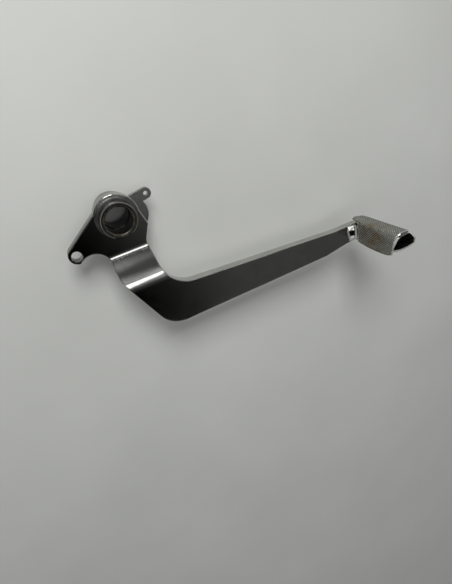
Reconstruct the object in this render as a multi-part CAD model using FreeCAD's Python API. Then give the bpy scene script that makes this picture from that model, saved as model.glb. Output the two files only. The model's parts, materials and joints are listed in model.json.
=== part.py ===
"""Motorcycle foot lever: a stamped steel lever on a bushed pivot tube, with a rod lug, a spring tab
and a knurled half-round foot pad.

Frame, in millimetres: the origin is on the pivot axis, half way through the plate round the tube.
+Z runs along the pivot axis to the outer side, where the foot pad stands out.
+X runs from the pivot axis to the middle of the foot pad, and +Y is across the lever, on the tab's side.
"""
import FreeCAD, Part
import math
import os

Vector = FreeCAD.Vector

# ---- driving dimensions ----
PLATE = 6.5                      # sheet thickness of the lever
EDGE_ROUND = 0.7                 # rounding of the lever's cut edges

TUBE_RADIUS = 12.0
TUBE_BORE_RADIUS = 10.5          # the bushes press in here
TUBE_FRONT = 12.5                # end faces of the tube, along Z
TUBE_REAR = -19.5
TUBE_CHAMFER = 0.5

BORE_RADIUS = 9.0                # running bore of both bushes
BUSH_LENGTH = 12.0
BUSH_CHAMFER = 0.6
REAR_BUSH_RECESS = 5.0           # depth of the open seal seat behind the rear bush

BOSS_RADIUS = 15.2
BOSS_FLANK = 13.6                # the straight flank to the lug runs this far from the pivot axis
LUG_CENTRE = (-23.5, -27.2)
LUG_RADIUS = 6.2
ROD_HOLE_CENTRE = (-24.0, -27.9)
ROD_HOLE_RADIUS = 3.5
ROD_HOLE_CHAMFER = 0.5
NOTCH_CENTRE = (-10.9, -36.9)
NOTCH_RADIUS = 10.8

BEND_ANGLE = 24.0                # direction of both bend lines, from +X
BEND_ONE = 26.2                  # distances of the bends from the pivot axis, square to the bend lines
BEND_TWO = 48.1
JOGGLE = 10.0                    # how far the arm stands out from the boss
BEND_RADIUS = 13.0               # at the middle of the sheet

TAB_THICKNESS = 3.0
TAB_COLLAR_RADIUS = 14.6
TAB_LOBE_CENTRE = (10.0, 0.0)
TAB_LOBE_RADIUS = 12.8
TAB_TIP_CENTRE = (19.2, 15.5)
TAB_TIP_RADIUS = 3.8
TAB_ROOT_CENTRE = (8.0, 8.0)
TAB_HOLE_RADIUS = 1.5

WELD_LEG = 2.4                   # fillet welds round the tube
TAB_WELD_LEG = 1.9
TAB_WELD_STARTS = (222.0, 282.0) # where each bead of the tab starts, in degrees
TAB_WELD_SWEEP = 38.0
SEAM_BEAD_RADIUS = 1.0           # the two seams under the pad

PAD_CORNER = (189.9, -7.5)       # corner of the pad's section at Z = 0
PAD_TURN = 21.7                  # direction of the pad's flat side, from +X
PAD_LEAN = 0.08                  # how far the pad's axis leans towards +Y, per mm of Z
PAD_WIDTH = 21.9
PAD_SHOULDER = 16.2              # height of the shoulder on the arm's side, at the open end
PAD_SHOULDER_RADIUS = 6.0        # at the open end; the bend is tighter towards the rear
PAD_SHOULDER_TIGHTENING = 0.075  # per mm from the open end
PAD_CROWN = (12.6, 15.6)         # where the crown turns down to the far side
PAD_CROWN_RADIUS = 6.0
PAD_FLANK = (22.1, 5.0)          # where the far side turns down to the underside
PAD_FLANK_RADIUS = 4.0
PAD_SHOULDER_RISE = 0.08         # how much the shoulder gains in height, per mm from the open end
PAD_CROWN_RISE = 0.03
PAD_BELLY = 1.9                  # bow of the underside
PAD_SHEET = 1.6
PAD_FRONT = 55.0                 # the open end, at the underside
PAD_FRONT_SLOPE = 0.3            # the open end is longer at the crown
PAD_REAR = 17.7                  # the rear edge of both flanks
PAD_HOOD = 16.8                  # above this height the sheet reaches back over the arm
PAD_HOOD_REAR = 11.0
SKIRT_DEPTH = 3.9                # the flank on the arm's side hangs this far below the base
CORE_FRONT = 34.0                # the stub inside the pad ends here
ROOT_REACH = 7.0                 # how far the root weld spreads over the arm
ROOT_HEIGHT = 4.2
ROOT_LENGTH = 13.4

BACK = -PLATE / 2
FRONT = PLATE / 2
ARM_FRONT = FRONT + JOGGLE
ARM_BACK = BACK + JOGGLE
FAR = 400.0                      # larger than the part, for cutting tools


# ---- small helpers ----
def flat(x, y):
    """A point of a drawing in the XY plane."""
    return Vector(x, y, 0)


def unit(vector):
    return Vector(vector).normalize()


def rounded_edges(corners, place=flat, closed=True):
    """Edges through (x, y, radius) corners; a corner with a radius becomes a tangent arc."""
    count = len(corners)
    starts = []
    ends = []
    middles = []
    for i, (x, y, radius) in enumerate(corners):
        here = Vector(x, y, 0)
        back = unit(flat(*corners[i - 1][:2]) - here)
        ahead = unit(flat(*corners[(i + 1) % count][:2]) - here)
        half = back.getAngle(ahead) / 2
        reach = radius / math.tan(half)
        starts.append(here + back * reach)
        ends.append(here + ahead * reach)
        middles.append(here + unit(back + ahead) * (radius / math.sin(half) - radius))
    edges = []
    for i in range(count):
        start = place(starts[i].x, starts[i].y)
        end = place(ends[i].x, ends[i].y)
        if corners[i][2] > 0:
            edges.append(Part.Arc(start, place(middles[i].x, middles[i].y), end).toShape())
        if i + 1 == count and not closed:
            break
        following = starts[(i + 1) % count]
        ahead = place(following.x, following.y)
        if end.distanceToPoint(ahead) > 1e-6:
            edges.append(Part.LineSegment(end, ahead).toShape())
    return edges


def rounded_face(corners, place=flat):
    return Part.Face(Part.Wire(rounded_edges(corners, place)))


def disc(centre, radius, bottom, top):
    return Part.makeCylinder(radius, top - bottom, Vector(centre[0], centre[1], bottom))


def hull_of_discs(centre_a, radius_a, centre_b, radius_b, bottom, top):
    """Two discs joined by their outer tangents."""
    span = Vector(centre_b[0] - centre_a[0], centre_b[1] - centre_a[1], 0)
    direction = math.atan2(span.y, span.x)
    opening = math.acos((radius_a - radius_b) / span.Length)
    corners = []
    for centre, radius, sign in (
        (centre_a, radius_a, 1),
        (centre_b, radius_b, 1),
        (centre_b, radius_b, -1),
        (centre_a, radius_a, -1),
    ):
        angle = direction + sign * opening
        corners.append(
            Vector(centre[0] + radius * math.cos(angle), centre[1] + radius * math.sin(angle), bottom)
        )
    web = Part.Face(Part.makePolygon(corners + corners[:1])).extrude(Vector(0, 0, top - bottom))
    discs = [disc(centre_a, radius_a, bottom, top), disc(centre_b, radius_b, bottom, top)]
    return web.multiFuse(discs).removeSplitter()


def lathe(points, sweep=360.0):
    """A solid of revolution round the pivot axis, from (radius, z) points."""
    corners = [Vector(radius, 0, z) for radius, z in points]
    face = Part.Face(Part.makePolygon(corners + corners[:1]))
    return face.revolve(Vector(0, 0, 0), Vector(0, 0, 1), sweep)


def chamfered_sleeve(inner, outer, bottom, top, chamfer, outer_chamfer=0.0):
    """A sleeve on the pivot axis, with its bore chamfered at both ends."""
    return lathe(
        [
            (inner, bottom + chamfer),
            (inner + chamfer, bottom),
            (outer - outer_chamfer, bottom),
            (outer, bottom + outer_chamfer) if outer_chamfer else (outer, bottom + 1e-3),
            (outer, top - outer_chamfer) if outer_chamfer else (outer, top - 1e-3),
            (outer - outer_chamfer, top),
            (inner + chamfer, top),
            (inner, top - chamfer),
        ]
    )


# ---- the lever plate ----
def bent_sheet():
    """The sheet seen along its bend lines: flat boss, sloping web, flat arm."""
    slope = math.atan2(JOGGLE, BEND_TWO - BEND_ONE)
    shift = FRONT * math.tan(slope / 2)
    inner = BEND_RADIUS - FRONT
    outer = BEND_RADIUS + FRONT
    turn = math.radians(BEND_ANGLE)
    along = Vector(math.cos(turn), math.sin(turn), 0)
    outward = Vector(math.sin(turn), -math.cos(turn), 0)

    def place(distance, z):
        return outward * distance - along * FAR / 2 + Vector(0, 0, z)

    section = rounded_face(
        [
            (-FAR / 4, BACK, 0),
            (BEND_ONE + shift, BACK, outer),
            (BEND_TWO + shift, ARM_BACK, inner),
            (FAR / 4, ARM_BACK, 0),
            (FAR / 4, ARM_FRONT, 0),
            (BEND_TWO - shift, ARM_FRONT, outer),
            (BEND_ONE - shift, FRONT, inner),
            (-FAR / 4, FRONT, 0),
        ],
        place,
    )
    return section.extrude(along * FAR * 1.2)


def lever_outline():
    """The lever's outline as a tall prism."""
    bottom = -30.0
    top = 40.0
    body = rounded_face(
        [
            (-19.5, -30.5, 0),
            (NOTCH_CENTRE[0], NOTCH_CENTRE[1], 0),
            (-0.2, -35.6, 0),
            (4.3, -43.6, 12),
            (44.0, -77.6, 20),
            (167.0, -21.1, 15),
            (183.6, -10.2, 6),
            (192.5, -5.4, 6),
            (207.6, 0.8, 2),
            (205.2, 5.4, 2),
            (196.0, 10.6, 3),
            (185.6, 6.9, 6),
            (168.5, -0.8, 20),
            (39.2, -45.8, 22),
            (21.2, -15.4, 8),
            (21.3, -3.1, 2),
            (13.9, 6.0, 3),
            (0, 10, 0),
            (-10, 0, 0),
        ]
    )
    body.translate(Vector(0, 0, bottom))
    body = body.extrude(Vector(0, 0, top - bottom))
    boss = disc((0, 0), BOSS_RADIUS, bottom, top)
    lug = hull_of_discs((0, 0), BOSS_FLANK, LUG_CENTRE, LUG_RADIUS, bottom, top)
    notch = disc(NOTCH_CENTRE, NOTCH_RADIUS, bottom, top)
    return body.multiFuse([boss, lug]).cut(notch).removeSplitter()


def rod_hole():
    hole = disc(ROD_HOLE_CENTRE, ROD_HOLE_RADIUS, BACK - 1, FRONT + 1)
    rim = ROD_HOLE_RADIUS + ROD_HOLE_CHAMFER
    for face, direction in ((FRONT, -1), (BACK, 1)):
        cone = Part.makeCone(
            rim, ROD_HOLE_RADIUS, ROD_HOLE_CHAMFER, Vector(*ROD_HOLE_CENTRE, face), Vector(0, 0, direction)
        )
        hole = hole.fuse(cone)
    return hole


def is_upright(face):
    """Whether a face stands along Z, at its middle."""
    low_u, high_u, low_v, high_v = face.ParameterRange
    return abs(face.normalAt((low_u + high_u) / 2, (low_v + high_v) / 2).z) < 0.02


def rounded_cut_edges(plate):
    """Rounds the edges where the sheet's two faces meet its cut outline."""
    solid = plate.Solids[0]
    cut_edges = []
    for edge in solid.Edges:
        upright = [is_upright(face) for face in solid.ancestorsOfType(edge, Part.Face)]
        if sorted(upright) == [False, True]:
            cut_edges.append(edge)
    return solid.makeFillet(EDGE_ROUND, cut_edges)


def lever_plate():
    plate = rounded_cut_edges(bent_sheet().common(lever_outline()))
    plate = plate.cut(disc((0, 0), TUBE_RADIUS, BACK - 1, FRONT + 1))
    return plate.cut(rod_hole())


# ---- pivot tube and bushes ----
def pivot_tube():
    return chamfered_sleeve(
        TUBE_BORE_RADIUS, TUBE_RADIUS, TUBE_REAR, TUBE_FRONT, TUBE_CHAMFER / 2, TUBE_CHAMFER
    )


def front_bush():
    return chamfered_sleeve(
        BORE_RADIUS, TUBE_BORE_RADIUS, TUBE_FRONT - BUSH_LENGTH, TUBE_FRONT, BUSH_CHAMFER
    )


def rear_bush():
    bottom = TUBE_REAR + REAR_BUSH_RECESS
    return chamfered_sleeve(BORE_RADIUS, TUBE_BORE_RADIUS, bottom, bottom + BUSH_LENGTH, BUSH_CHAMFER)


# ---- spring tab ----
def spring_tab():
    top = BACK
    bottom = BACK - TAB_THICKNESS
    collar = disc((0, 0), TAB_COLLAR_RADIUS, bottom, top)
    lobe = disc(TAB_LOBE_CENTRE, TAB_LOBE_RADIUS, bottom, top)
    finger = hull_of_discs(TAB_ROOT_CENTRE, TAB_TIP_RADIUS, TAB_TIP_CENTRE, TAB_TIP_RADIUS, bottom, top)
    plate = collar.multiFuse([lobe, finger]).removeSplitter()
    plate = plate.cut(disc((0, 0), TUBE_RADIUS, bottom, top))
    return plate.cut(disc(TAB_TIP_CENTRE, TAB_HOLE_RADIUS, bottom, top))


# ---- welds of the boss ----
def fillet_bead(radius, face, leg, sign, sweep=360.0, start=0.0):
    """A fillet weld round the pivot axis, on a face at height z; sign is the side it stands on."""
    throat = leg * 0.58
    bead = lathe(
        [
            (radius, face),
            (radius + leg, face),
            (radius + throat, face + sign * throat),
            (radius, face + sign * leg),
        ],
        sweep,
    )
    bead.rotate(Vector(0, 0, 0), Vector(0, 0, 1), start)
    return bead


def front_tube_weld():
    return fillet_bead(TUBE_RADIUS, FRONT, WELD_LEG, 1)


def rear_tube_weld():
    return fillet_bead(TUBE_RADIUS, BACK - TAB_THICKNESS, WELD_LEG, -1)


def tab_welds():
    beads = [
        fillet_bead(TAB_COLLAR_RADIUS, BACK, TAB_WELD_LEG, -1, TAB_WELD_SWEEP, start)
        for start in TAB_WELD_STARTS
    ]
    return Part.makeCompound(beads)


# ---- foot pad ----
def pad_place(z):
    """Maps (across, up) in the pad's section into the XY plane at height z."""
    turn = math.radians(PAD_TURN)
    side = Vector(math.cos(turn), math.sin(turn), 0)
    up = Vector(-math.sin(turn), math.cos(turn), 0)
    corner = Vector(PAD_CORNER[0], PAD_CORNER[1] + PAD_LEAN * z, z)

    def place(across, height):
        return corner + side * across + up * height

    return place


def pad_axis(length):
    """The extrusion along the pad's leaning axis that climbs by a length in Z."""
    return Vector(0, PAD_LEAN, 1) * length


def pad_section(inset, z):
    """The pad's half-round outline at height z, drawn in by an inset: bowed below, crowned above."""
    place = pad_place(z)
    shoulder = PAD_SHOULDER + PAD_SHOULDER_RISE * (PAD_FRONT - z)
    crown = PAD_CROWN[1] + PAD_CROWN_RISE * (PAD_FRONT - z)
    shoulder_radius = PAD_SHOULDER_RADIUS - PAD_SHOULDER_TIGHTENING * (PAD_FRONT - z)
    left = inset
    right = PAD_WIDTH - inset * 1.1
    low = inset * 0.9
    top = rounded_edges(
        [
            (left, low, 0),
            (left, shoulder - inset, shoulder_radius - inset),
            (PAD_CROWN[0] - inset * 0.3, crown - inset, PAD_CROWN_RADIUS - inset),
            (PAD_FLANK[0] - inset, PAD_FLANK[1], PAD_FLANK_RADIUS - inset),
            (right, low, 0),
        ],
        place,
        closed=False,
    )
    belly = Part.Arc(place(right, low), place(PAD_WIDTH / 2, inset - PAD_BELLY), place(left, low))
    return Part.Wire(top + [belly.toShape()])


def pad_solid(inset, bottom, top):
    """The pad's tapered body between two heights."""
    return Part.makeLoft([pad_section(inset, bottom), pad_section(inset, top)], True, True)


def pad_box(left, right, low, high, bottom, top):
    """A block in the pad's own directions, for cutting."""
    place = pad_place(bottom)
    corners = [place(left, low), place(right, low), place(right, high), place(left, high)]
    face = Part.Face(Part.makePolygon(corners + corners[:1]))
    return face.extrude(pad_axis(top - bottom))


def pad_front_cutter():
    """Everything in front of the open end, which is cut at a slant."""
    place = pad_place(PAD_FRONT)
    corners = [
        place(across, height) + Vector(0, 0, PAD_FRONT_SLOPE * height)
        for across, height in ((-30, -30), (60, -30), (60, 60), (-30, 60))
    ]
    face = Part.Face(Part.makePolygon(corners + corners[:1]))
    return face.extrude(Vector(0, 0, FAR))


def pad_tube():
    """The pad's outer skin, all the way round."""
    top = PAD_FRONT + 10.0
    skin = pad_solid(0, PAD_HOOD_REAR, top)
    return skin.cut(pad_solid(PAD_SHEET, PAD_HOOD_REAR, top)).cut(pad_front_cutter())


def underside():
    """The part of the pad's space that the base plate closes, between the flanks."""
    return pad_box(PAD_SHEET, PAD_WIDTH - PAD_SHEET, -20, PAD_SHEET, ARM_FRONT, FAR / 4)


def pad_skirt():
    """The strip of the arm's side flank that hangs below the base, with rounded ends."""
    profile = rounded_edges(
        [
            (PAD_REAR, 1.0, 0),
            (PAD_REAR, -0.8, 1.5),
            (PAD_REAR + 10.0, 0.8 - SKIRT_DEPTH, 15),
            (PAD_FRONT - 8.0, -SKIRT_DEPTH, 9),
            (PAD_FRONT - 0.8, 1.4 - SKIRT_DEPTH, 1.5),
            (PAD_FRONT, 1.0, 0),
        ],
        lambda z, height: pad_place(z)(0, height),
    )
    return Part.Face(Part.Wire(profile)).extrude(pad_place(0)(PAD_SHEET, 0) - pad_place(0)(0, 0))


def pad_tread():
    behind = pad_box(-30, 60, -30, PAD_HOOD, BACK, PAD_REAR)
    return pad_tube().cut(behind).cut(underside()).fuse(pad_skirt()).removeSplitter()


def pad_base():
    return pad_tube().common(underside())


def pad_core():
    return pad_solid(PAD_SHEET, ARM_FRONT, CORE_FRONT)


def pad_root_weld():
    """The broad fillet between the arm and the flank of the pad's core."""
    place = pad_place(ARM_FRONT)
    foot = place(-ROOT_REACH, 0)
    heel = place(PAD_SHEET, 0)
    crest = pad_place(ARM_FRONT + ROOT_HEIGHT)(0.2, 0)
    back = pad_place(ARM_FRONT + ROOT_HEIGHT)(PAD_SHEET, 0)
    dip = pad_place(ARM_FRONT + ROOT_HEIGHT * 0.33)(-ROOT_REACH * 0.38, 0)
    edges = [
        Part.Arc(foot, dip, crest).toShape(),
        Part.LineSegment(crest, back).toShape(),
        Part.LineSegment(back, heel).toShape(),
        Part.LineSegment(heel, foot).toShape(),
    ]
    rise = place(0, ROOT_LENGTH) - place(0, 0)
    return Part.Face(Part.Wire(edges)).extrude(rise).cut(pad_core())


def pad_seam_welds():
    """A bead along each lower corner of the pad, where the tread meets the base."""
    beads = []
    for across in (PAD_SHEET, PAD_WIDTH - PAD_SHEET):
        start = pad_place(PAD_REAR + 3)(across, -0.5)
        bead = Part.makeCylinder(SEAM_BEAD_RADIUS, PAD_FRONT - PAD_REAR - 9, start, pad_axis(1))
        beads.append(bead.cut(pad_tube()).cut(pad_core()).cut(pad_skirt()))
    return Part.makeCompound([max(bead.Solids, key=lambda solid: solid.Volume) for bead in beads])


MAKERS = (
    lever_plate,
    pivot_tube,
    front_bush,
    rear_bush,
    spring_tab,
    front_tube_weld,
    rear_tube_weld,
    tab_welds,
    pad_tread,
    pad_base,
    pad_core,
    pad_root_weld,
    pad_seam_welds,
)

os.makedirs("parts", exist_ok=True)
for make in MAKERS:
    shape = make()
    shape.exportStep("parts/" + make.__name__ + ".step")
    print(make.__name__, len(shape.Solids), shape.isValid(), round(shape.Volume, 1), shape.BoundBox)
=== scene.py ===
"""Looks of the motorcycle foot lever: plated steel, bronze bushes, weld beads and a knurled foot pad.

Everything is in metres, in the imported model's frame: +Z along the pivot axis, +X towards the foot pad.
"""
import json
import math

import bpy
from mathutils import Matrix, Vector, noise


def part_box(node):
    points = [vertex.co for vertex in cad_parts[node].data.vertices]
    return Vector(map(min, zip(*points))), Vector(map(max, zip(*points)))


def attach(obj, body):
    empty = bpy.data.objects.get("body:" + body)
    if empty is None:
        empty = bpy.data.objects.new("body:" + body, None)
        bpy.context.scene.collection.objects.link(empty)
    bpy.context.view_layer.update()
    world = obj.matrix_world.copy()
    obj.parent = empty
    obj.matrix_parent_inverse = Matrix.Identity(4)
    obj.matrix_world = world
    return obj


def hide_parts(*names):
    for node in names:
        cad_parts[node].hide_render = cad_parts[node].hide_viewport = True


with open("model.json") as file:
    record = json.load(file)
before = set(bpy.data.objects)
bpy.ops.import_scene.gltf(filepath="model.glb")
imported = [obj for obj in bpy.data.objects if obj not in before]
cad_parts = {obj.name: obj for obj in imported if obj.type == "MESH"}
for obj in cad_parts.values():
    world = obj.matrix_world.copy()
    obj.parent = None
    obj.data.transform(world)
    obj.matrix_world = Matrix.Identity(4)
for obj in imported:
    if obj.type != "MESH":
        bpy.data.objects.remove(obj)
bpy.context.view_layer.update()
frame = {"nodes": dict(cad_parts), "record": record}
MM = 0.001

# ---- sizes taken from the frame ----
TUBE_LOW, TUBE_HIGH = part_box("pivot_tube")
PLATE_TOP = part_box("lever_plate")[1].z
TAB_LOW, TAB_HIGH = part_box("spring_tab")
FRONT_WELD_LOW, FRONT_WELD_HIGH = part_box("front_tube_weld")
REAR_WELD_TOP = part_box("rear_tube_weld")[1].z
ROOT_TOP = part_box("pad_root_weld")[1].z
TUBE_RADIUS = TUBE_HIGH.x
FLOOR = TUBE_LOW.z - 0.1 * MM        # just under the tube's end

# ---- surfaces ----
GRAIN_DEPTH = 0.03 * MM
WELD_GRAIN_DEPTH = 0.02 * MM
PAINTED_DARK_REFLECTION_RANGE = (-24.0 * MM, 6.0 * MM)         # along X: painted dark reflection at the lug, none past the pivot
BORE_EDGE = (9.15 * MM, 9.25 * MM)           # the bushes are dark inside this radius
RUST_RANGE = (19.0 * MM, 4.0 * MM)           # how far the tread's rust reaches from its middle
RIM_WEAR_AND_SHEEN_RANGE = (-1.2 * MM, -0.5 * MM)      # behind the tread's front rim
RIM_FOOT_RANGE = (7.0 * MM, 13.0 * MM)       # from dull to bright with wear and a painted highlight, up the rim from the skirt

# ---- the step in the plate ----
BEND_DIRECTION = math.radians(24.0)
BEND_OUTWARD = Vector((math.sin(BEND_DIRECTION), -math.cos(BEND_DIRECTION), 0))
BOW_BACK = 1.0 * MM      # the bow starts inside each bend
BOW_REACH = 9.0 * MM
BOW_DEPTH = 0.65 * MM
BEND_PLACES = (27.5 * MM, 47.0 * MM)         # how far out the two bends are, from the pivot
BEND_HALF_WIDTHS = (2.2 * MM, 3.0 * MM)
CHIP_LIMITS = (0.56, 0.60)                   # the higher, the fewer chips on a bend

# ---- foot pad ----
PAD_CORNER = Vector((189.9, -7.5, 0)) * MM   # corner of its section at Z = 0
PAD_TURN = math.radians(21.7)
PAD_LEAN = 0.08                              # the axis leans towards +Y, per unit of Z
PAD_WIDTH = 21.9 * MM
PAD_SHEET = 1.6 * MM
PAD_FRONT = 55.0 * MM
PAD_FRONT_SLOPE = 0.3
PAD_REAR = 17.7 * MM
PAD_HOOD = 16.8 * MM                         # above this height the sheet reaches further back
PAD_HOOD_REAR = 11.0 * MM
PAD_SHOULDER = 16.2 * MM                     # its height at the front; it and the crown rise towards the rear
PAD_SHOULDER_RISE = 0.08
PAD_SHOULDER_RADIUS = 6.0 * MM
PAD_SHOULDER_TIGHTENING = 0.075
PAD_CROWN = (12.6 * MM, 15.6 * MM)
PAD_CROWN_RISE = 0.03
PAD_CROWN_RADIUS = 6.0 * MM
PAD_FLANK = (22.1 * MM, 5.0 * MM)
PAD_FLANK_RADIUS = 4.0 * MM
PAD_ARC_STEPS = 12
PAD_SIDE = Vector((math.cos(PAD_TURN), math.sin(PAD_TURN), 0))
PAD_UP = Vector((-math.sin(PAD_TURN), math.cos(PAD_TURN), 0))
SKIRT_EDGE = (   # (z, height) of the skirt's lower edge, in mm
    (17.7, -0.8),
    (24.0, -2.0),
    (30.0, -3.0),
    (38.0, -3.6),
    (46.0, -3.8),
    (51.0, -3.5),
    (54.4, -2.4),
)
TREAD_AROUND = 56.0 * MM     # about the sheet's size round its bend and along the pad, for its mesh
TREAD_LENGTH = 44.0 * MM
INNER_SKIP = 4               # one mesh step inside for this many outside
SECTION_STEP = 0.5 * MM
FRONT_EASE = 0.88            # the worn rim slopes a little less than the sheet was cut
KNURL_PITCH = 1.9 * MM
KNURL_DEPTH = 0.5 * MM
KNURL_STEP = 0.2 * MM
KNURL_LEAN = 0.85            # the grooves' run round the sheet, per unit of Z
RIM_ROUND = 0.35 * MM
LIP_ROUND = 0.8 * MM
LIP_THICK = 1.7 * MM
LIP_LENGTH = 4.0 * MM
LIP_START = (5.0 * MM, 13.0 * MM)    # along the rim, where the lip rises and where it falls
LIP_END = (34.0 * MM, 22.0 * MM)

# ---- welds ----
WELD_BITE = 0.02 * MM        # how far a bead reaches into the tube
WELD_PITCH = 1.9 * MM
WELD_RIPPLE = 0.01           # of its leg
WELD_STEPS = 8               # across a bead
WELD_RINGS = 1.5             # along it, for each degree
TAB_BEADS = {"a": 222.0, "b": 282.0}         # where each starts, in degrees
TAB_BEAD_SWEEP = 38.0
NECK_REACH = 7.0 * MM
NECK_LENGTH = 13.4 * MM
NECK_RAMP = 0.286
NECK_LIP = 1.6 * MM
NECK_SLOPE = 0.27
NECK_CREST = NECK_SLOPE * 3.6 * MM
NECK_UNEVEN = 0.9 * MM
NECK_OVERLAP = 0.6 * MM      # how far it reaches under the tread
NECK_BITE = 0.2 * MM         # how far it reaches into the arm

# ---- camera and light ----
CAMERA_PLACE = Vector((-58.3, 76.7, 292.9)) * MM
CAMERA_FORWARD = Vector((0.4164, -0.3770, -0.8273))
CAMERA_UP = Vector((0.0199, 0.9135, -0.4063))
LONG_SENSOR = 36.0
LENS = 27.74
SET_MIDDLE = Vector((80.0, -40.0, 0)) * MM
SHADE_SIDE = (0.54, 0.84, 0.0)               # from the lever's lower side to its upper side
UPWARD = (0.0, 0.0, 1.0)


# ---- node helpers ----
class Shader:
    """Builds a material's nodes; a setting that is a socket gets linked, any other is a constant."""

    def __init__(self, name):
        self.material = bpy.data.materials.new(name)
        self.material.use_nodes = True
        self.tree = self.material.node_tree
        self.tree.nodes.clear()
        self.place = self.node("ShaderNodeTexCoord").outputs["Object"]

    def node(self, kind, inputs=None, **settings):
        made = self.tree.nodes.new(kind)
        for key, value in settings.items():
            setattr(made, key, value)
        for key, value in (inputs or {}).items():
            socket = made.inputs[key]
            if isinstance(value, bpy.types.NodeSocket):
                self.tree.links.new(value, socket)
            else:
                socket.default_value = value
        return made

    def noise(self, scale, detail=3.0, roughness=0.55, place=None):
        inputs = {"Vector": place or self.place, "Scale": scale, "Detail": detail, "Roughness": roughness}
        return self.node("ShaderNodeTexNoise", inputs).outputs["Fac"]

    def stretched(self, scale, turn=0.0):
        inputs = {"Vector": self.place, "Rotation": (0, 0, turn), "Scale": scale}
        return self.node("ShaderNodeMapping", inputs).outputs["Vector"]

    def between(self, value, low, high, start=0.0, end=1.0, **settings):
        """Maps low..high to start..end, held at both ends."""
        inputs = {"Value": value, "From Min": low, "From Max": high, "To Min": start, "To Max": end}
        return self.node("ShaderNodeMapRange", inputs, **settings).outputs["Result"]

    def math(self, operation, first, second=0.0):
        return self.node("ShaderNodeMath", {0: first, 1: second}, operation=operation).outputs["Value"]

    def along(self, direction):
        inputs = {0: self.place, 1: tuple(direction)}
        return self.node("ShaderNodeVectorMath", inputs, operation="DOT_PRODUCT").outputs["Value"]

    def reach(self, centre):
        inputs = {0: self.place, 1: tuple(centre)}
        return self.node("ShaderNodeVectorMath", inputs, operation="DISTANCE").outputs["Value"]

    def mix(self, factor, first, second):
        inputs = {"Factor": factor, "A": first, "B": second}
        made = self.tree.nodes.new("ShaderNodeMix")
        made.data_type = "RGBA"
        for socket in made.inputs:
            is_factor = socket.name == "Factor" and socket.type == "VALUE"
            if socket.name in inputs and (socket.type == "RGBA" or is_factor):
                value = inputs[socket.name]
                if isinstance(value, bpy.types.NodeSocket):
                    self.tree.links.new(value, socket)
                else:
                    socket.default_value = value if socket.name == "Factor" else (*value, 1.0)
        return next(socket for socket in made.outputs if socket.type == "RGBA")

    def bump(self, height, strength, distance, normal=None):
        inputs = {"Height": height, "Strength": strength, "Distance": distance}
        if normal:
            inputs["Normal"] = normal
        return self.node("ShaderNodeBump", inputs).outputs["Normal"]

    def finish(self, colour, roughness, normal=None, metallic=1.0):
        inputs = {"Base Color": colour, "Roughness": roughness, "Metallic": metallic}
        if normal:
            inputs["Normal"] = normal
        surface = self.node("ShaderNodeBsdfPrincipled", inputs).outputs["BSDF"]
        self.node("ShaderNodeOutputMaterial", {"Surface": surface})
        return self.material


# ---- materials ----
def plated_steel(name, bright, dull, low_rough, high_rough, bands=()):
    """Worn plating: cloudy tone, fine grain, faint scratches and pits.

    Bands are the plate's two bends, with chipped plating. Between them the plate is slightly bowed, and it
    has a painted dark reflection towards the lug.
    """
    s = Shader(name)
    cloud = s.noise(70.0, 4.0)
    grain = s.noise(1400.0, 5.0, 0.65)
    scratches = s.noise(1.0, 2.0, 0.6, s.stretched((160.0, 5200.0, 160.0), 0.5))
    tone = s.math("ADD", s.math("MULTIPLY", cloud, 0.65), s.math("MULTIPLY", grain, 0.35))
    colour = s.mix(s.between(tone, 0.35, 0.65), dull, bright)
    roughness = s.between(tone, 0.35, 0.68, high_rough, low_rough)
    if bands:
        # painted dark reflection: the plate's colour darkens towards the lug
        no_painted_reflection = s.between(s.along((1.0, 0.0, 0.0)), *PAINTED_DARK_REFLECTION_RANGE)
        colour = s.mix(no_painted_reflection, s.mix(0.75, colour, (0.04, 0.04, 0.038)), colour)
    pits = s.between(s.noise(2300.0, 2.0, 0.5), 0.66, 0.72)
    colour = s.mix(s.math("MULTIPLY", pits, 0.6), colour, (0.03, 0.027, 0.022))
    marks = s.math("ADD", s.math("MULTIPLY", grain, 0.5), s.math("MULTIPLY", scratches, 0.4))
    height = s.math("SUBTRACT", marks, pits)
    for middle, half_width, limit in bands:
        offset = s.math("ABSOLUTE", s.math("SUBTRACT", s.along(BEND_OUTWARD), middle))
        inside = s.between(offset, half_width * 1.4, half_width * 0.5)
        chips = s.between(s.math("MULTIPLY", s.noise(230.0, 5.0, 0.7), inside), limit, limit + 0.03)
        colour = s.mix(s.math("MULTIPLY", chips, 0.85), colour, (0.035, 0.032, 0.026))
        roughness = s.math("MAXIMUM", roughness, s.math("MULTIPLY", chips, 0.55))
        height = s.math("SUBTRACT", height, chips)
    normal = None
    if bands:
        bow = 0.0
        for (middle, _, _), inward in zip(bands, (1, -1)):
            start, end = sorted((middle - inward * BOW_BACK, middle + inward * BOW_REACH))
            step = s.between(s.along(BEND_OUTWARD), start, end, interpolation_type="SMOOTHSTEP")
            bow = s.math("ADD", bow, step)
        normal = s.bump(s.math("MULTIPLY", bow, -BOW_DEPTH), 1.0, 1.0)
    return s.finish(colour, roughness, s.bump(height, 0.2, GRAIN_DEPTH, normal))


def bronze():
    """Turned bronze on the bushes' ends, with grime, and darker inside the bore."""
    s = Shader("bush_bronze")
    turned = s.noise(1.0, 2.0, 0.5, s.stretched((30.0, 30.0, 5200.0)))
    grime = s.between(s.noise(420.0, 4.0), 0.42, 0.62)
    colour = s.mix(grime, (0.20, 0.175, 0.13), (0.085, 0.078, 0.06))
    across = s.stretched((1.0, 1.0, 0.0))
    radius = s.node("ShaderNodeVectorMath", {0: across}, operation="LENGTH").outputs["Value"]
    bore = s.between(radius, *BORE_EDGE, 1.0, 0.0)
    colour = s.mix(bore, colour, (0.020, 0.023, 0.026))
    roughness = s.between(turned, 0.3, 0.7, 0.20, 0.34)
    return s.finish(colour, roughness, s.bump(turned, 0.25, GRAIN_DEPTH))


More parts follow.
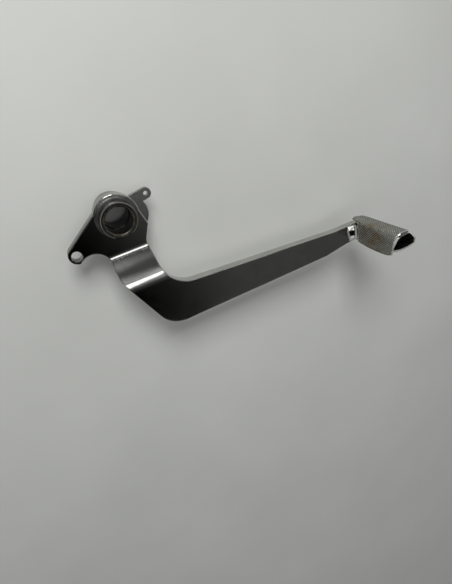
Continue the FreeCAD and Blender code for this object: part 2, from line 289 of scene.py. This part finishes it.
def weld_metal():
    """Dull grey beads with soot."""
    s = Shader("weld_steel")
    grain = s.noise(1100.0, 5.0, 0.6)
    soot = s.between(s.noise(190.0, 4.0), 0.45, 0.7)
    colour = s.mix(soot, (0.11, 0.11, 0.105), (0.05, 0.048, 0.043))
    return s.finish(colour, s.between(grain, 0.3, 0.7, 0.42, 0.54), s.bump(grain, 0.12, WELD_GRAIN_DEPTH))


def tread_steel(name, centre, grooved):
    """Dull plating on the pad, with rust round a worn middle and darker grooves in any knurling.

    The front rim is bright from wear and a painted highlight, except at the foot of the skirt.
    """
    s = Shader(name)
    grain = s.noise(1600.0, 4.0, 0.6)
    patches = s.noise(160.0, 4.0, 0.6)
    near = s.between(s.reach(centre), *RUST_RANGE)
    rust = s.math("MULTIPLY", near, s.between(patches, 0.34, 0.6))
    steel = s.mix(s.between(grain, 0.35, 0.65), (0.36, 0.36, 0.335), (0.55, 0.55, 0.52))
    colour = s.mix(s.math("MULTIPLY", rust, 0.85), steel, (0.31, 0.215, 0.11))
    roughness = s.between(patches, 0.35, 0.65, 0.16, 0.28)
    if grooved:
        # darker in the knurl's grooves
        grooves = s.between(s.node("ShaderNodeNewGeometry").outputs["Pointiness"], 0.52, 0.46)
        colour = s.mix(grooves, colour, (0.02, 0.018, 0.013))
    # painted highlight on the front rim, together with real wear: near-white colour and lower roughness there
    front = s.along(Vector((0, 0, 1.0 + PAD_FRONT_SLOPE * PAD_UP.y * PAD_LEAN)) - PAD_UP * PAD_FRONT_SLOPE)
    corner_height = PAD_UP.dot(PAD_CORNER)
    rim = PAD_FRONT - corner_height * PAD_FRONT_SLOPE
    wear_and_sheen = s.between(front, *(rim + step for step in RIM_WEAR_AND_SHEEN_RANGE))
    above_foot = s.between(s.along(PAD_UP), *(corner_height + step for step in RIM_FOOT_RANGE))
    wear_and_sheen = s.math("MULTIPLY", wear_and_sheen, above_foot)
    colour = s.mix(wear_and_sheen, colour, (0.80, 0.80, 0.78))
    roughness = s.math("MULTIPLY", roughness, s.between(wear_and_sheen, 0.0, 1.0, 1.0, 0.6))
    return s.finish(colour, roughness, s.bump(grain, 0.3, GRAIN_DEPTH))


def floor_paint():
    s = Shader("floor_paint")
    cloud = s.noise(6.0, 3.0)
    colour = s.mix(s.between(cloud, 0.3, 0.7), (0.60, 0.61, 0.58), (0.66, 0.67, 0.64))
    return s.finish(colour, s.between(cloud, 0.3, 0.7, 0.45, 0.55), metallic=0.0)


LEVER_BANDS = tuple(zip(BEND_PLACES, BEND_HALF_WIDTHS, CHIP_LIMITS))
MATERIALS = {
    "lever_steel": plated_steel(
        "lever_steel", (0.56, 0.56, 0.53), (0.44, 0.44, 0.415), 0.08, 0.14, LEVER_BANDS
    ),
    "tube_steel": plated_steel("tube_steel", (0.27, 0.27, 0.255), (0.18, 0.18, 0.17), 0.12, 0.19),
    "tab_steel": plated_steel("tab_steel", (0.40, 0.40, 0.38), (0.28, 0.28, 0.26), 0.2, 0.3),
    "bush_bronze": bronze(),
    "weld_steel": weld_metal(),
}
TREAD_LOW, TREAD_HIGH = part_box("pad_tread")
TREAD_MIDDLE = (TREAD_LOW + TREAD_HIGH) / 2
TREAD_WEAR = (TREAD_LOW.x + 4 * MM, TREAD_MIDDLE.y - 2 * MM, TREAD_MIDDLE.z)
MATERIALS["tread_steel"] = tread_steel("tread_steel", TREAD_WEAR, False)
KNURLED = tread_steel("knurled_steel", TREAD_WEAR, True)


def dress(piece, slot):
    piece.data.materials.clear()
    piece.data.materials.append(MATERIALS[slot])


def dress_cad_nodes():
    """CAD nodes keep their shape; they get smooth shading across small angles and the slot's material."""
    slots = {row["node"]: row["material_slot"] for row in frame["record"]["subparts"]}
    for name, piece in frame["nodes"].items():
        dress(piece, slots[name])
        piece.data.polygons.foreach_set("use_smooth", [True] * len(piece.data.polygons))
        piece.data.set_sharp_from_angle(angle=math.radians(32))


# ---- meshes ----
def add_mesh(name, points, faces, slot, *nodes, material=None):
    """A piece in the row frame that stands for some CAD nodes."""
    data = bpy.data.meshes.new(name)
    data.from_pydata([tuple(point) for point in points], [], faces)
    data.validate()
    data.polygons.foreach_set("use_smooth", [True] * len(data.polygons))
    piece = bpy.data.objects.new(name, data)
    bpy.context.scene.collection.objects.link(piece)
    data.materials.append(material or MATERIALS[slot])
    data.set_sharp_from_angle(angle=math.radians(50))
    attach(piece, "root")
    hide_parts(*nodes)
    return piece


def smooth(value, low, high):
    """0 at or before low, 1 at or past high, with no corners between; low may be the larger."""
    t = min(max((value - low) / (high - low), 0.0), 1.0)
    return t * t * (3 - 2 * t)


def along_table(table, x):
    """Reads y at x off a short table of points, with straight runs between."""
    for (x0, y0), (x1, y1) in zip(table, table[1:]):
        if x <= x1:
            return y0 + (y1 - y0) * min(max((x - x0) / (x1 - x0), 0.0), 1.0)
    return table[-1][1]


def pad_point(across, height, z):
    corner = PAD_CORNER + Vector((0, PAD_LEAN * z, z))
    return corner + PAD_SIDE * across + PAD_UP * height


def pad_outline(z):
    """The tread's section at z, from the skirt over the crown to the far flank: (place, outward) pairs."""
    back_from_front = PAD_FRONT - z
    low = along_table(SKIRT_EDGE, z / MM) * MM
    shoulder = PAD_SHOULDER + PAD_SHOULDER_RISE * back_from_front
    shoulder_radius = PAD_SHOULDER_RADIUS - PAD_SHOULDER_TIGHTENING * back_from_front
    crown = PAD_CROWN[1] + PAD_CROWN_RISE * back_from_front
    corners = (
        (0.0, low, 0.0),
        (0.0, shoulder, shoulder_radius),
        (PAD_CROWN[0], crown, PAD_CROWN_RADIUS),
        (*PAD_FLANK, PAD_FLANK_RADIUS),
        (PAD_WIDTH, 0.0, 0.0),
    )
    path = []
    for i, (x, y, radius) in enumerate(corners):
        here = Vector((x, y))
        if not radius:
            ahead = Vector(corners[1 if i == 0 else i - 1][:2]) - here
            along = ahead.normalized() * (1 if i == 0 else -1)
            path.append((here, Vector((-along.y, along.x))))
            continue
        back = (Vector(corners[i - 1][:2]) - here).normalized()
        ahead = (Vector(corners[i + 1][:2]) - here).normalized()
        half = back.angle(ahead) / 2
        centre = here + (back + ahead).normalized() * radius / math.sin(half)
        first = Vector((back.y, -back.x))
        swing = math.pi - 2 * half
        for step in range(PAD_ARC_STEPS + 1):
            turn = -swing * step / PAD_ARC_STEPS
            cosine = math.cos(turn)
            sine = math.sin(turn)
            outward = Vector((first.x * cosine - first.y * sine, first.x * sine + first.y * cosine))
            path.append((centre + outward * radius, outward))
    return path


def spread(path, count):
    """Points at even steps along a path of (place, outward) pairs, with their distance from the start."""
    lengths = [0.0]
    for (a, _), (b, _) in zip(path, path[1:]):
        lengths.append(lengths[-1] + (b - a).length)
    made = []
    k = 0
    for i in range(count + 1):
        want = lengths[-1] * i / count
        while k < len(path) - 2 and lengths[k + 1] < want:
            k += 1
        t = (want - lengths[k]) / max(lengths[k + 1] - lengths[k], 1e-9)
        place = path[k][0].lerp(path[k + 1][0], t)
        outward = path[k][1].lerp(path[k + 1][1], t).normalized()
        made.append((place, outward, want))
    return made


def ridge(value):
    """A row of roofs of unit pitch, 0 in the grooves and 1 on the ridges."""
    return 1.0 - abs(2.0 * (value - math.floor(value)) - 1.0)


def knurl(around, z, edge):
    """How deep the diamond knurling is cut at a point, worn a little unevenly and gone near the edges."""
    first = ridge((around + z * KNURL_LEAN) / KNURL_PITCH)
    second = ridge((around - z * KNURL_LEAN) / KNURL_PITCH)
    wear = 0.75 + 0.25 * noise.noise(Vector((around, z, 0)) * 260.0)
    return KNURL_DEPTH * (1.0 - min(first, second)) * wear * smooth(edge, 0.3 * MM, 1.1 * MM)


def round_over(distance, radius):
    """How far a surface drops, at some distance from a rounded rim."""
    if distance >= radius:
        return 0.0
    return radius - math.sqrt(radius**2 - (radius - distance) ** 2)


def knurled_tread():
    """The pad's bent sheet: knurled outside, plain inside, with rounded rims."""
    inner_columns = round(TREAD_AROUND / KNURL_STEP / INNER_SKIP)
    inner_rows = round(TREAD_LENGTH / KNURL_STEP / INNER_SKIP)
    columns = INNER_SKIP * inner_columns
    rows = INNER_SKIP * inner_rows
    rear_section = spread(pad_outline(PAD_REAR), columns)
    rear = []
    front = []
    for place, _, _ in rear_section:
        hood = smooth(place.y, PAD_HOOD - 0.5 * MM, PAD_HOOD + 0.5 * MM)
        rear.append(PAD_REAR + (PAD_HOOD_REAR - PAD_REAR) * hood)
        front.append(PAD_FRONT + PAD_FRONT_SLOPE * place.y * FRONT_EASE)
    sections = {}

    def section(z):
        key = round(z / SECTION_STEP)
        if key not in sections:
            sections[key] = spread(pad_outline(key * SECTION_STEP), columns)
        return sections[key]

    def sheet_point(i, j, inner):
        z = rear[i] + (front[i] - rear[i]) * j / rows
        low = section(z - SECTION_STEP / 2)[i]
        high = section(z + SECTION_STEP / 2)[i]
        below = round((z - SECTION_STEP / 2) / SECTION_STEP) * SECTION_STEP
        share = min(max((z - below) / SECTION_STEP, 0.0), 1.0)
        place = low[0].lerp(high[0], share)
        outward = low[1].lerp(high[1], share).normalized()
        around = low[2] + (high[2] - low[2]) * share
        length = section(z)[-1][2]
        ahead = max(front[i] - z, 0.0)
        edge = max(min(z - rear[i], around, length - around), 0.0)
        depth = round_over(edge, RIM_ROUND)
        if inner:
            lip = smooth(around, *LIP_START) * smooth(around, *LIP_END) * smooth(ahead, LIP_LENGTH, 0.0)
            depth = PAD_SHEET - depth - round_over(ahead, RIM_ROUND) + LIP_THICK * lip
        else:
            depth += round_over(ahead, LIP_ROUND)
            height = around + along_table(SKIRT_EDGE, z / MM) * MM
            depth += knurl(height, z, min(edge, ahead))
        place = place - outward * depth
        return pad_point(place.x, place.y, z)

    outer = [[sheet_point(i, j, False) for i in range(columns + 1)] for j in range(rows + 1)]
    inner = [
        [sheet_point(i, j, True) for i in range(0, columns + 1, INNER_SKIP)]
        for j in range(0, rows + 1, INNER_SKIP)
    ]
    points = [point for row in outer for point in row]
    offset = len(points)
    points += [point for row in inner for point in row]
    wide = columns + 1
    narrow = inner_columns + 1

    def out(i, j):
        return j * wide + i

    def back(i, j):
        return offset + j * narrow + i

    faces = [
        (out(i, j), out(i, j + 1), out(i + 1, j + 1), out(i + 1, j))
        for j in range(rows)
        for i in range(columns)
    ]
    faces += [
        (back(i, j), back(i + 1, j), back(i + 1, j + 1), back(i, j + 1))
        for j in range(inner_rows)
        for i in range(inner_columns)
    ]
    for i in range(inner_columns):
        run = range(INNER_SKIP * i, INNER_SKIP * (i + 1) + 1)
        faces.append([out(k, 0) for k in run] + [back(i + 1, 0), back(i, 0)])
        faces.append([out(k, rows) for k in reversed(run)] + [back(i, inner_rows), back(i + 1, inner_rows)])
    for j in range(inner_rows):
        run = range(INNER_SKIP * j, INNER_SKIP * (j + 1) + 1)
        faces.append([out(0, k) for k in reversed(run)] + [back(0, j), back(0, j + 1)])
        faces.append([out(columns, k) for k in run] + [back(inner_columns, j + 1), back(inner_columns, j)])
    return add_mesh("knurled_tread", points, faces, "tread_steel", "pad_tread", material=KNURLED)


def bead_profile(leg, ripple):
    """A fillet weld's section, (out, along the tube) from its root: hollow between its two toes."""
    points = []
    for k in range(WELD_STEPS + 1):
        angle = math.pi / 2 * k / WELD_STEPS
        swell = ripple * math.sin(2 * angle)
        points.append((leg * (1.0 - math.cos(angle) + swell), leg * (1.0 - math.sin(angle) + swell)))
    return points


def ring_bead(name, radius, face, leg, side, start, sweep, *nodes):
    """A rippled fillet weld round the pivot axis, on a face at height z."""
    closed = sweep >= 360.0
    steps = round(sweep * WELD_RINGS)
    points = []
    faces = []
    for i in range(steps if closed else steps + 1):
        angle = math.radians(start + sweep * i / steps)
        run = radius * math.radians(sweep) * i / steps
        drift = 2.0 * noise.noise(Vector((run * 300, side, 0)))
        ripple = WELD_RIPPLE * math.cos(2 * math.pi * run / WELD_PITCH + drift)
        size = leg * (1.0 + 0.02 * noise.noise(Vector((run * 180.0, 3.0, side))))
        end = 1.0 if closed else smooth(min(i, steps - i) / steps, 0.0, 0.1) * 0.8 + 0.2
        profile = [(0.0, 0.0)] + bead_profile(size * end, ripple)
        for out, rise in profile:
            reach = radius + out
            points.append((reach * math.cos(angle), reach * math.sin(angle), face + side * rise))
    wide = len(profile)
    loops = len(points) // wide
    for i in range(loops if closed else loops - 1):
        here = i * wide
        following = (i + 1) % loops * wide
        for k in range(wide):
            beside = (k + 1) % wide
            quad = (here + k, here + beside, following + beside, following + k)
            faces.append(quad if side > 0 else quad[::-1])
    if not closed:
        faces.append(list(range(wide))[:: -1 if side > 0 else 1])
        faces.append([len(points) - wide + k for k in range(wide)][:: 1 if side > 0 else -1])
    return add_mesh(name, points, faces, "weld_steel", *nodes)


def make_welds():
    """The beads round the tube at both faces of the plate, and the tab's two short ones."""
    leg = FRONT_WELD_HIGH.z - FRONT_WELD_LOW.z
    root = TUBE_RADIUS - WELD_BITE
    ring_bead("front_weld_bead", root, FRONT_WELD_LOW.z, leg, 1, 0, 360.0, "front_tube_weld")
    ring_bead("rear_weld_bead", root, REAR_WELD_TOP, leg, -1, 0, 360.0, "rear_tube_weld")
    tab_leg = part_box("tab_welds")[1].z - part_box("tab_welds")[0].z
    collar = -TAB_LOW.x
    for letter, start in TAB_BEADS.items():
        name = f"tab_weld_bead_{letter}"
        ring_bead(name, collar, TAB_HIGH.z, tab_leg, -1, start, TAB_BEAD_SWEEP, "tab_welds")


def neck_height(across, height):
    """How high the neck's weld stands over the arm: a ramp up to the pad, falling off to both edges."""
    ramp = NECK_RAMP * (across + NECK_REACH) + NECK_LIP * smooth(across, -1.6 * MM, NECK_OVERLAP)
    upper = NECK_SLOPE * (NECK_LENGTH - height)
    lower = NECK_CREST * smooth(height, 0.5 * MM, 6.0 * MM)
    swell = min(upper, NECK_CREST, lower)
    ripple = 0.05 * MM * noise.noise(Vector((across, height, 0)) * 420.0)
    return max((ramp + ripple) * smooth(height, 0.0, 3.0 * MM) + swell, 0.0)


def neck_weld():
    """The broad weld between the arm and the pad's flank."""
    columns = 48
    rows = 84
    top = []
    low = []
    for j in range(rows + 1):
        for i in range(columns + 1):
            height = NECK_LENGTH * j / rows
            uneven = NECK_UNEVEN * noise.noise(Vector((height * 330.0, 7.0, 0)))
            reach = NECK_REACH * (0.76 + 0.2 * smooth(height, 2 * MM, 11 * MM)) + uneven
            across = -reach + (reach + NECK_OVERLAP) * i / columns
            rise = smooth(i / columns, 0.0, 0.14)
            level = min(neck_height(across, height) * rise + 0.03 * MM, ROOT_TOP - PLATE_TOP)
            foot = pad_point(across, height, PLATE_TOP)
            top.append(foot + Vector((0, 0, level)))
            low.append(foot - Vector((0, 0, NECK_BITE)))
    count = len(top)
    wide = columns + 1
    faces = []
    for j in range(rows):
        for i in range(columns):
            a = j * wide + i
            faces.append((a, a + 1, a + 1 + wide, a + wide))
            faces.append((count + a, count + a + wide, count + a + 1 + wide, count + a + 1))
    border = list(range(wide))
    border += [j * wide + columns for j in range(1, rows + 1)]
    border += [rows * wide + i for i in range(columns - 1, -1, -1)]
    border += [j * wide for j in range(rows - 1, 0, -1)]
    for a, b in zip(border, border[1:] + border[:1]):
        faces.append((a, count + a, count + b, b))
    add_mesh("neck_weld_saddle", top + low, faces, "lever_steel", "pad_root_weld")


# ---- floor, light and camera ----
def add_floor():
    bpy.ops.mesh.primitive_plane_add(size=6.0, location=(0.09, -0.04, FLOOR))
    floor = bpy.context.object
    floor.name = "floor"
    floor.data.materials.append(floor_paint())


def area_light(name, offset, size, power, turn=0.0):
    """A soft light that looks at the middle of the set from an offset."""
    place = SET_MIDDLE + Vector(offset)
    data = bpy.data.lights.new(name, "AREA")
    data.shape = "RECTANGLE"
    data.size, data.size_y = size
    data.energy = power
    lamp = bpy.data.objects.new(name, data)
    aim = (SET_MIDDLE - place).to_track_quat("-Z", "Y").to_matrix().to_4x4()
    lamp.matrix_world = Matrix.Translation(place) @ aim @ Matrix.Rotation(turn, 4, "Z")
    lamp.visible_camera = False
    bpy.context.scene.collection.objects.link(lamp)


def add_lights():
    area_light("overhead_strip", (-0.05, 0.16, 1.5), (1.5, 0.26), 2.6, BEND_DIRECTION)
    area_light("key_softbox", (-0.35, 0.65, 0.62), (0.4, 0.4), 6.4)
    area_light("window", (0.57, -0.79, 0.86), (0.4, 0.45), 0.45)


def add_world():
    """Pale at the horizon and dark overhead, so that flat faces look dark, with a glow for the bends."""
    world = bpy.data.worlds.new("studio")
    bpy.context.scene.world = world
    world.use_nodes = True
    tree = world.node_tree
    tree.nodes.clear()
    place = tree.nodes.new("ShaderNodeTexCoord").outputs["Generated"]

    def lean(direction, low, high, start, end):
        """Brightness by how far a direction leans, from start at low to end at high."""
        dot = tree.nodes.new("ShaderNodeVectorMath")
        dot.operation = "DOT_PRODUCT"
        dot.inputs[1].default_value = direction
        tree.links.new(place, dot.inputs[0])
        reach = tree.nodes.new("ShaderNodeMapRange")
        reach.interpolation_type = "SMOOTHSTEP"
        for name, value in (("From Min", low), ("From Max", high), ("To Min", start), ("To Max", end)):
            reach.inputs[name].default_value = value
        tree.links.new(dot.outputs["Value"], reach.inputs["Value"])
        return reach.outputs["Result"]

    def combine(operation, first, second):
        made = tree.nodes.new("ShaderNodeMath")
        made.operation = operation
        tree.links.new(first, made.inputs[0])
        tree.links.new(second, made.inputs[1])
        return made.outputs[0]

    overhead = lean(SHADE_SIDE, -0.21, 0.0, 0.0, 0.07)
    horizon = lean(UPWARD, 0.25, 0.72, 0.5, 0.0)
    glow_start = lean(SHADE_SIDE, -0.01, 0.08, 0.0, 1.0)
    glow_end = lean(SHADE_SIDE, 0.10, 0.26, 0.45, 0.0)
    glow_top = lean(UPWARD, 0.84, 0.94, 0.0, 1.0)
    glow = combine("MULTIPLY", combine("MULTIPLY", glow_start, glow_end), glow_top)
    total = combine("ADD", combine("ADD", overhead, horizon), glow)
    backdrop = tree.nodes.new("ShaderNodeBackground")
    tree.links.new(total, backdrop.inputs["Color"])
    output = tree.nodes.new("ShaderNodeOutputWorld")
    tree.links.new(backdrop.outputs[0], output.inputs[0])


def add_camera():
    data = bpy.data.cameras.new("camera")
    data.lens = LENS
    data.sensor_width = LONG_SENSOR
    data.clip_start = 0.01
    camera = bpy.data.objects.new("camera", data)
    back = -CAMERA_FORWARD.normalized()
    right = CAMERA_UP.cross(back).normalized()
    up = back.cross(right)
    camera.matrix_world = Matrix.Translation(CAMERA_PLACE) @ Matrix((right, up, back)).transposed().to_4x4()
    bpy.context.scene.collection.objects.link(camera)
    bpy.context.scene.camera = camera


dress_cad_nodes()
knurled_tread()
make_welds()
neck_weld()
add_floor()
add_lights()
add_world()
add_camera()
bpy.context.scene.view_settings.view_transform = "Standard"
bpy.context.scene.cycles.use_denoising = True

bpy.context.view_layer.update()
